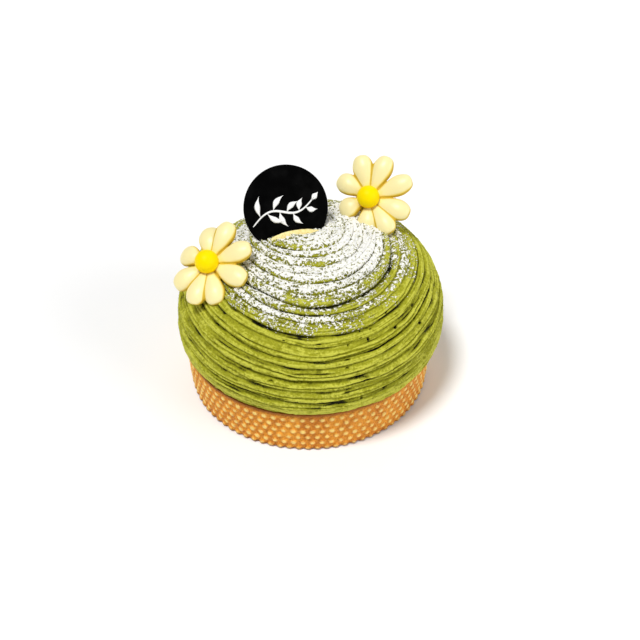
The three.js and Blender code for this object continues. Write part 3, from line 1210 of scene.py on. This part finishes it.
    def skin(self) -> Form:
        """The whole skin of the dome, with marks for its finish.

        Returns:
            The closed form.
        """
        grid = self.grid()
        width = self.strand_width(grid)
        below, above = (self.strength(grid.groove + beside, grid.turn) for beside in (0, 1))
        cut = below * (1 - grid.within) + above * grid.within
        section = self.section(grid.within)
        split = self.splits(grid, width)
        holes = self.holes(grid.row, grid.turn)
        sugar = self.dusting(grid)
        streak = 1 - 2 * np.abs(grid.fibre(33, 14, 3.3))
        streak = 0.5 * streak + 0.7 * grid.fibre(34, 7, 6) + 0.4 * grid.fibre(38, 1.6, 6)
        slit = ease(grid.fibre(45, 3.6, 5.2), 0.35, 0.75) * ease(grid.fibre(46, 9, 0.7), -0.4, 0.3)
        rough = grid.grain(35, 0.9) + 0.8 * grid.grain(36, 2.3)
        swell = grid.fibre(37, 20, 0.9) + 0.5 * grid.fibre(39, 7, 1)

        foot_end = ease(grid.share, 0, 0.03)
        ends = foot_end * (1 - ease(grid.share, 0.96, 1))
        relief = self.groove_depth * cut * section - self.split_depth * split
        relief += self.streak_rise * streak + self.swell_rise * swell - self.slit_depth * slit
        relief = width * relief + self.rough_rise * rough - self.hole_depth * holes
        relief = (relief - self.lip_step * self.under_lip(grid)) * ends
        relief += self.shoulders(grid.angle, grid.share) - self.foot_curl * (1 - foot_end)
        relief += self.sugar_rise * ease(sugar + 0.6 * grid.grain(41, 0.8), 0.4, 0.8)

        crest = 1 + section
        sink = self.droop * width * crest * ends * ease(grid.radius, 4 * MM, 20 * MM)
        radius = grid.radius + grid.up * relief - grid.out * sink
        vertices = np.stack([
            self.centre[0] + radius * np.cos(grid.angle),
            self.centre[1] + radius * np.sin(grid.angle),
            grid.height - grid.out * relief - grid.up * sink,
        ], -1)
        weight = np.minimum(0.45 + 0.6 * cut, 1.3) * ease(cut, 0.1, 0.5)
        # Painted shade for the finish: in the grooves, the split lines, the slits and the air
        # holes.
        valley_shade = (1 - crest.clip(0) ** 1.6) * weight
        marks = {
            "hollow_shade": np.clip(valley_shade + 0.8 * split + 0.4 * slit + holes, 0, 1),
            "streak": streak,
            "sugar": sugar * (1 - ease((1 - crest) * weight, 0.6, 0.95)) * (1 - holes),
            "wound": grid.wound,
        }
        return self.closed(grid.level, vertices, marks)

    def closed(self, level: Array, vertices: Array, marks: dict[str, Array]) -> Form:
        """Cuts the grid off at the foot and the top, and closes it there and at the seam.

        Args:
            level: place of each point up the outline, in strand widths.
            vertices: the points.
            marks: for each name, one number a point.

        Returns:
            The closed skin.
        """
        beyond, before = level >= self.widths - TINY, level <= TINY
        index = np.arange(level.size).reshape(level.shape)
        top, under = level.size, level.size + 1
        index[beyond] = top
        start = index[np.arange(self.columns), before.sum(axis=1) - 1]
        index = np.where(before, start[:, None], index)
        last = np.full(self.rows_per_strand, top)
        seam = np.concatenate([index[0, self.rows_per_strand:], last])
        beside = np.concatenate([index[1:], seam[None]])
        fan = np.stack([np.full(self.columns, under), np.roll(start, -1), start], -1)
        peak = vertices[~beyond & (level > self.widths - 0.2)].mean(axis=0)
        ends = [peak, [*self.centre, self.foot_height]]
        return Form(
            np.concatenate([vertices.reshape(-1, 3), ends]),
            np.concatenate([band(index, beside), fan]),
            {name: np.append(values.ravel(), [0, 0]) for name, values in marks.items()},
        ).tidied()

    def dusting(self, grid: StrandGrid) -> Array:
        """How thickly icing sugar lies, from 0 to 1: on the cap and on the ledge round it.

        Args:
            grid: the smooth skin.

        Returns:
            The thickness at each point.
        """
        number = grid.groove + self.crossed(grid.turn)
        cap = ease(number, 11.4, 12)
        right = facing(grid.angle, -8, 0.2, 0.95) * ease(number, 12.2, 13.2)
        rear = facing(grid.angle, 90, 0.1, 0.7) * ease(number, 7.5, 9)
        front_left = facing(grid.angle, -120, 0.1, 1)
        right_ledge = facing(grid.angle, 20, 0.4, 0.95)
        ledge = 0.32 + 0.42 * front_left + 0.38 * right_ledge
        side = (0.82 + 0.3 * right) * cap + ledge * (1 - cap)
        cloud = grid.fibre(42, 7, 0) * 0.22 + grid.fibre(43, 2.6, 0) * 0.2
        fringe = self.of_groove(number, "fringe") * (1 - 0.85 * right)
        sugar = self.of_groove(number, "sugar")
        face = ease(grid.within, fringe - 0.25, fringe + 0.2)
        lie = sugar * (0.4 + 0.6 * face) * (1 - 0.4 * ease(grid.within, 0.92, 1))
        lie = np.maximum(lie * side, 0.5 * rear)
        return np.clip(lie + cloud * ease(sugar + rear, 0.05, 0.4), 0, 1)

    def build(self) -> Form:
        """Builds and dresses the dome.

        Returns:
            Its skin, for the sugar to lie on.
        """
        form = self.skin()
        form.piece("cream_dome_piped", CreamFinish().paint(), Slot.CREAM, "cream_dome")
        return form


@dataclass
class IcingSugar:
    """Loose grains that stand on the dusted parts of the cream."""

    seed: int = 3
    grains: int = 7500
    smallest: float = 0.1 * MM
    largest: float = 0.24 * MM
    shape: tuple[int, int] = (5, 3)  # columns and rows of a rounded grain
    lumpiness: float = 0.25

    def build(self, dome: Form) -> bpy.types.Object:
        """Scatters the grains.

        Args:
            dome: the cream's skin, with its sugar mark.

        Returns:
            All grains as one piece.
        """
        draw = np.random.default_rng(self.seed)
        corners = dome.vertices[dome.faces]
        across = np.cross(corners[:, 1] - corners[:, 0], corners[:, 2] - corners[:, 0])
        sugar = dome.marks["sugar"][dome.faces].mean(axis=1)
        upward = across[:, 2] > 0
        chance = np.linalg.norm(across, axis=1) * sugar**1.3 * upward
        chosen = draw.choice(len(chance), self.grains, p=chance / chance.sum())
        spread = draw.dirichlet((1, 1, 1), self.grains)
        at = (corners[chosen] * spread[:, :, None]).sum(axis=1)
        size = draw.uniform(self.smallest, self.largest, (self.grains, 1, 1))
        shape = ball(*self.shape)
        uneven = draw.standard_normal((self.grains, len(shape.vertices), 1)).clip(-1.5, 1.5)
        vertices = at[:, None, :] + shape.vertices[None] * (1 + self.lumpiness * uneven) * size
        starts = (np.arange(self.grains) * len(shape.vertices))[:, None, None]
        form = Form(vertices.reshape(-1, 3), (shape.faces[None] + starts).reshape(-1, 3))
        return form.piece("icing_sugar_grains", SugarFinish().paint(), Slot.CREAM)


# ---- plaque -----------------------------------------------------------------------------


@dataclass(frozen=True)
class Stand:
    """Where a decoration stands: its face turns about Z and leans back."""

    at: Triple
    turn: float
    lean: float

    def rotation(self) -> Array:
        """Rotation from the decoration's own frame, whose +Z is its face."""
        return turn_about_z(self.turn) @ turn_about_x(90 - self.lean)

    def set(self, form: Form) -> Form:
        """Stands a form in its place."""
        return form.placed(self.rotation(), self.at)


@dataclass(frozen=True)
class Stroke:
    """Line drawn on the plaque along a curve, swelling from its ends to its middle."""

    points: Array
    thin: float = 0.55 * MM
    thick: float = 1.25 * MM
    rise: float = 0.12 * MM
    rounding: float = 0.03  # share of its length at each end

    def form(self) -> Form:
        """The line as a low closed bar on the plane Z = 0.

        Returns:
            The closed form.
        """
        along = np.gradient(self.points, axis=0)
        along /= np.linalg.norm(along, axis=1, keepdims=True)
        side = np.stack([-along[:, 1], along[:, 0]], -1)
        share = np.linspace(0, 1, len(self.points))
        width = self.thin + (self.thick - self.thin) * np.sin(math.pi * share) ** 2
        width *= np.clip(np.minimum(share, 1 - share) / self.rounding, 0.25, 1) ** 0.5
        offsets = (-0.5, -0.3, 0.3, 0.5)
        levels = (0, self.rise, self.rise, 0)
        rings = np.stack([
            np.concatenate([self.points + side * (width * offset)[:, None],
                            np.full((len(self.points), 1), level)], axis=1)
            for offset, level in zip(offsets, levels)
        ])
        count = len(self.points)
        index = np.arange(4 * count).reshape(4, count)
        faces = band(index, np.roll(index, -1, axis=0))
        first, last = index[:, 0], index[:, -1]
        caps = [first[[0, 1, 2]], first[[0, 2, 3]], last[[0, 2, 1]], last[[0, 3, 2]]]
        return Form(rings.reshape(-1, 3), np.concatenate([faces, caps]))


@dataclass
class Plaque:
    """Round black plaque with a sprig drawn on its face and a pale ridge at its foot."""

    place: Stand = Stand((-8.6 * MM, 9.3 * MM, 74.8 * MM), 14.7, 28)
    radius: float = 16.9 * MM
    thickness: float = 1.2 * MM
    edge_round: float = 0.3 * MM
    ridge_length: float = 21 * MM
    ridge_height: float = 3.4 * MM
    ridge_thickness: float = 1.9 * MM
    ridge_arch: float = 1.3 * MM
    ridge_bluntness: float = 0.32
    ridge_at: tuple[float, float] = (2.5 * MM, -10.2 * MM)
    gap: float = 0.3 * MM
    leaves: int = 9
    first_leaf: int = 9  # point of the stem where it grows
    leaf_step: int = 6  # points from there to the next one
    leaf_turn: float = 52  # degrees away from the stem, to either side
    leaf_length: float = 8.4  # of the first leaf, in millimetres
    leaf_shrink: float = 0.5  # by which each next one is shorter
    columns: int = 160

    def disc(self) -> Form:
        """The disc, with rounded edges, its face towards +Z.

        Returns:
            The closed form.
        """
        quarter = np.linspace(0, math.pi / 2, 7)
        inset = self.edge_round * (1 - np.cos(quarter))
        drop = self.edge_round * (1 - np.sin(quarter))
        half = self.thickness / 2
        lower = np.stack([self.radius - inset[::-1], -half + drop[::-1]], -1)
        upper = np.stack([self.radius - inset, half - drop], -1)
        flats = np.linspace(0.25, 0.99, 5)[:, None] * [self.radius - self.edge_round, 0]
        profile = np.concatenate([
            [[0, -half]], flats + [0, -half], lower, upper, flats[::-1] + [0, half], [[0, half]],
        ])
        return revolve(profile, self.columns)

    def sprig(self) -> Form:
        """Drawing on the face: a curved stem with pointed leaves along it.

        Returns:
            All its lines as one form.
        """
        t = np.linspace(0, 1, 60)
        stem = np.stack([-14 + 25.5 * t, -5.6 + 8.4 * t + 2.6 * np.sin(2 * math.pi * t)], -1) * MM
        lines = [Stroke(stem, thick=1.0 * MM)]
        for leaf in range(self.leaves):
            root = self.first_leaf + leaf * self.leaf_step
            way = stem[root] - stem[root - 1]
            turn = self.leaf_turn * (0 if leaf == self.leaves - 1 else (1, -1)[leaf % 2])
            heading = math.atan2(way[1], way[0]) + math.radians(turn)
            length = (self.leaf_length - self.leaf_shrink * leaf) * MM
            bow = 0.12 * length * np.sin(math.pi * t) * np.sign(turn)
            c, s = math.cos(heading), math.sin(heading)
            points = np.stack([length * t, bow], -1) @ np.array([[c, s], [-s, c]])
            lines.append(Stroke(stem[root - 1] + points, thin=0.15 * MM, thick=2.3 * MM))
        face = self.thickness / 2
        return joined([line.form() for line in lines]).placed(np.eye(3), (0, 0, face))

    def ridge(self) -> Form:
        """The pale ridge: an arched bar with blunt ends.

        Returns:
            The closed form.
        """
        form = lengthwise_ball(48, 96)
        x, y, z = form.vertices.T
        section = np.clip(1 - x**2, 0, 1)
        fill = np.where(section > 1e-6, np.maximum(section, 1e-6) ** -self.ridge_bluntness, 1)
        across, up = self.ridge_at
        lump = 1 + 0.06 * Grain(51).at(x * 9, y * 2, z * 2)
        front = (self.thickness + self.ridge_thickness) / 2 + self.gap
        middle = up - self.ridge_height / 2 + self.ridge_arch * section
        form.vertices = np.stack([
            across + x * self.ridge_length / 2,
            middle + y * fill * lump * self.ridge_height / 2,
            front + z * fill * lump * self.ridge_thickness / 2,
        ], -1)
        return form

    def build(self) -> None:
        """Builds and dresses the plaque, its drawing and its ridge."""
        disc, sprig, ridge = map(self.place.set, (self.disc(), self.sprig(), self.ridge()))
        disc.piece("plaque_disc", PlaqueFinish().paint(), Slot.PLAQUE, "plaque")
        sprig.piece("plaque_sprig", LineFinish().paint(), Slot.PALE_CREAM)
        ridge.piece("plaque_ridge", RidgeFinish().paint(), Slot.PALE_CREAM, "plaque_foot_ridge")


# ---- daisies ----------------------------------------------------------------------------


@dataclass(frozen=True)
class Petal:
    """One petal: its direction in degrees, and its reach and backward bend in millimetres."""

    turn: float
    reach: float
    bend: float


@dataclass
class Daisy:
    """Moulded flower: plump petals joined behind a yellow ball."""

    name: str
    place: Stand
    petals: Sequence[Petal]
    half_width: float = 4.75 * MM
    half_thickness: float = 2.9 * MM
    root_share: float = 0.24
    widening: tuple[float, float] = (0.0, 0.8)
    bluntness: float = 0.18
    bend_span: float = 0.625
    cup: float = 1.1 * MM
    hub_radius: float = 6.2 * MM
    hub_half_thickness: float = 2.4 * MM
    hub_drop: float = 2.4 * MM
    centre_radius: float = 4.6 * MM
    centre_rise: float = 2.3 * MM
    fuse_cell: float = 0.26 * MM
    # Sides turned this way get painted shade.
    towards_floor: Triple = (0.55, 0.2, -0.8)
    far: float = 9  # half widths from a petal that points the other way

    def width(self, along: Array) -> Array:
        """Share of the full width at a share of the reach."""
        return self.root_share + (1 - self.root_share) * ease(along, *self.widening)

    def petal(self, petal: Petal) -> Form:
        """One plump petal, narrow at the root and round at the tip.

        Args:
            petal: how it lies.

        Returns:
            The closed form.
        """
        form = lengthwise_ball(40, 48)
        x, y, z = form.vertices.T
        along = (x + 1) / 2
        width = self.width(along) * np.maximum(1 - x**2, 1e-3) ** -self.bluntness
        bow = self.cup * along**2 - petal.bend * MM * (along / self.bend_span) ** 2
        form.vertices = np.stack([
            along * petal.reach * MM,
            y * width * self.half_width,
            z * width * self.half_thickness + bow,
        ], -1)
        return form.placed(turn_about_z(petal.turn), (0, 0, 0))

    def crown(self) -> Form:
        """All petals and the hub behind them as one skin, with a mark for its painted amber shade.

        Returns:
            The closed form.
        """
        hub = ball(48, 24)
        hub.vertices *= (self.hub_radius, self.hub_radius, self.hub_half_thickness)
        hub.vertices[:, 2] -= self.hub_drop
        petals = (self.petal(petal) for petal in self.petals)
        form = fused(joined([hub, *petals]), self.fuse_cell, 2)
        x, y, _ = form.vertices.T
        angle, radius = np.degrees(np.arctan2(y, x)), np.hypot(x, y)
        across = []
        for petal in self.petals:
            away = np.radians((angle - petal.turn + 180) % 360 - 180)
            along = np.clip(radius * np.cos(away) / (petal.reach * MM), 0, 1)
            share = np.abs(radius * np.sin(away)) / (self.width(along) * self.half_width)
            across.append(np.where(np.cos(away) > 0, share, self.far))
        side, other_side = np.sort(across, axis=0)[:2]
        # Painted shade: amber in the creases between petals, at their sides and roots, and on
        # sides turned down and away from the light.
        crease = (1 - ease(other_side - side, 0, 0.4)) * ease(side, 0.3, 0.7)
        normals = form.normals()
        shade = (normals @ self.place.rotation().T) @ self.towards_floor
        root = 1 - ease(radius, 5 * MM, 9 * MM)
        amber_shade = 0.6 * ease(side, 0.5, 0.95) + 0.3 * (1 - ease(normals[:, 2], -0.1, 0.8))
        amber_shade += 0.5 * root + crease + 0.8 * ease(shade, -0.7, 0.4) - 0.15
        behind = ease(-normals[:, 2], 0, 0.6)
        form.marks["amber_shade"] = np.clip(amber_shade, 0, 1) * (1 - 0.6 * behind)
        return form

    def ball(self) -> Form:
        """The yellow ball, with a mark for painted shade on its lower side.

        Returns:
            The closed form.
        """
        form = ball(64, 40)
        lump = 1 + 0.012 * Grain(61).at(*(form.vertices.T * 1.7))
        normal = self.place.rotation() @ form.vertices.T
        # Painted shade: deeper on the side turned down.
        form.marks["low"] = ease(-normal[2], -0.1, 0.9)
        form.vertices *= lump[:, None] * self.centre_radius
        form.vertices[:, 2] += self.centre_rise
        return form

    def build(self, petal_finish: bpy.types.Material, centre_finish: bpy.types.Material) -> None:
        """Builds the flower and gives it its finishes.

        Args:
            petal_finish: finish of the petals.
            centre_finish: finish of the ball.
        """
        crown = self.place.set(self.crown())
        crown.piece(f"{self.name}_crown", petal_finish, Slot.PETAL, f"{self.name}_petals")
        ball_form = self.place.set(self.ball())
        ball_form.piece(f"{self.name}_ball", centre_finish, Slot.CENTRE, f"{self.name}_centre")


def daisies() -> list[Daisy]:
    """The two flowers, with each petal as it lies.

    Returns:
        The left one and the right one.
    """
    left = Daisy("daisy_left", Stand((-37.8 * MM, -12.6 * MM, 63.7 * MM), -25, 52), [
        Petal(113, 15.6, 1.5), Petal(81, 17.9, 0.4), Petal(35, 18, 0), Petal(-9, 17.8, 0),
        Petal(-57, 17.2, 0.3), Petal(-89, 17.2, 0), Petal(-130, 16, 0.8), Petal(174, 14, 1.8),
    ])
    right = Daisy("daisy_right", Stand((24.8 * MM, 22.1 * MM, 71.2 * MM), -20, 46), [
        Petal(115, 18.2, 0), Petal(79, 18.5, 0.2), Petal(34, 18.7, 0), Petal(-11, 18, 0.5),
        Petal(-45, 17.7, 0), Petal(-80, 14.5, 0.8), Petal(-144, 13.2, 0.8), Petal(158, 15.9, 0.6),
    ])
    return [left, right]


# ---- studio -----------------------------------------------------------------------------


@dataclass(frozen=True)
class Lamp:
    """Far light with soft shadows.

    Attributes:
        name: the lamp's name.
        towards: direction of the source, from the cake.
        softness: how wide the source looks, in degrees.
        strength: how bright it is.
    """

    name: str
    towards: Triple
    softness: float
    strength: float

    def hang(self) -> None:
        """Puts the lamp in the scene."""
        lamp = bpy.data.lights.new(self.name, "SUN")
        lamp.angle = math.radians(self.softness)
        lamp.energy = self.strength
        made = bpy.data.objects.new(self.name, lamp)
        made.rotation_euler = (-Vector(self.towards)).to_track_quat("-Z", "Y").to_euler()
        bpy.context.scene.collection.objects.link(made)


@dataclass
class Studio:
    """Pale floor, soft lights and the camera."""

    target: Triple = (4.78 * MM, 0.0, 25.4 * MM)
    distance: float = 0.4
    elevation: float = 39.3
    sensor: float = 36  # millimetres
    lens: float = 955 * 36 / 640  # 955 pixels, where the picture is 640 wide
    nearest: float = 0.01
    floor_size: float = 14.0
    lamps: Sequence[Lamp] = (
        Lamp("key", (-0.26, -0.25, 0.92), 16, 2.43),
        Lamp("fill", (0.7, -0.36, 0.36), 38, 1.1),
        Lamp("rear", (0.1, 0.6, 0.58), 34, 0.27),
    )
    sky: float = 0.22

    def floor(self) -> None:
        """Lays the floor."""
        half = self.floor_size / 2
        corners = [[-half, -half, 0], [half, -half, 0], [half, half, 0], [-half, half, 0]]
        made = Form(np.array(corners), np.array([[0, 1, 2], [0, 2, 3]])).object("studio_floor")
        paint = Paint("floor_finish", roughness=0.9, specular=0.1)
        white, grey = srgb(252, 252, 252), srgb(248, 248, 248)
        made.data.materials.append(paint.finish(paint.mix(paint.noise(0.3, 1), white, grey)))

    def camera(self) -> None:
        """Sets the camera at the photograph's angle."""
        lens = bpy.data.cameras.new("photo_camera")
        lens.sensor_width = self.sensor
        lens.lens = self.lens
        lens.clip_start = self.nearest
        made = bpy.data.objects.new("photo_camera", lens)
        tilt = math.radians(self.elevation)
        back = Vector((0, -math.cos(tilt), math.sin(tilt)))
        made.location = Vector(self.target) + back * self.distance
        made.rotation_euler = (-back).to_track_quat("-Z", "Y").to_euler()
        bpy.context.scene.collection.objects.link(made)
        bpy.context.scene.camera = made

    def build(self) -> None:
        """Sets up the whole studio."""
        self.camera()
        self.floor()
        for lamp in self.lamps:
            lamp.hang()
        world = bpy.data.worlds.new("studio_light")
        world.use_nodes = True
        backdrop = world.node_tree.nodes["Background"]
        backdrop.inputs["Color"].default_value = (1, 1, 1, 1)
        backdrop.inputs["Strength"].default_value = self.sky
        bpy.context.scene.world = world
        bpy.context.scene.view_settings.view_transform = "Standard"


def main() -> None:
    """Builds the cake from the tart up, and then the studio round it."""
    logging.basicConfig(level=logging.INFO, format="%(message)s")
    TartCase().build()
    dome = CreamDome().build()
    IcingSugar().build(dome)
    Plaque().build()
    petal_finish, centre_finish = PetalFinish().paint(), CentreFinish().paint()
    for daisy in daisies():
        daisy.build(petal_finish, centre_finish)
    Studio().build()


if __name__ == "__main__":
    main()
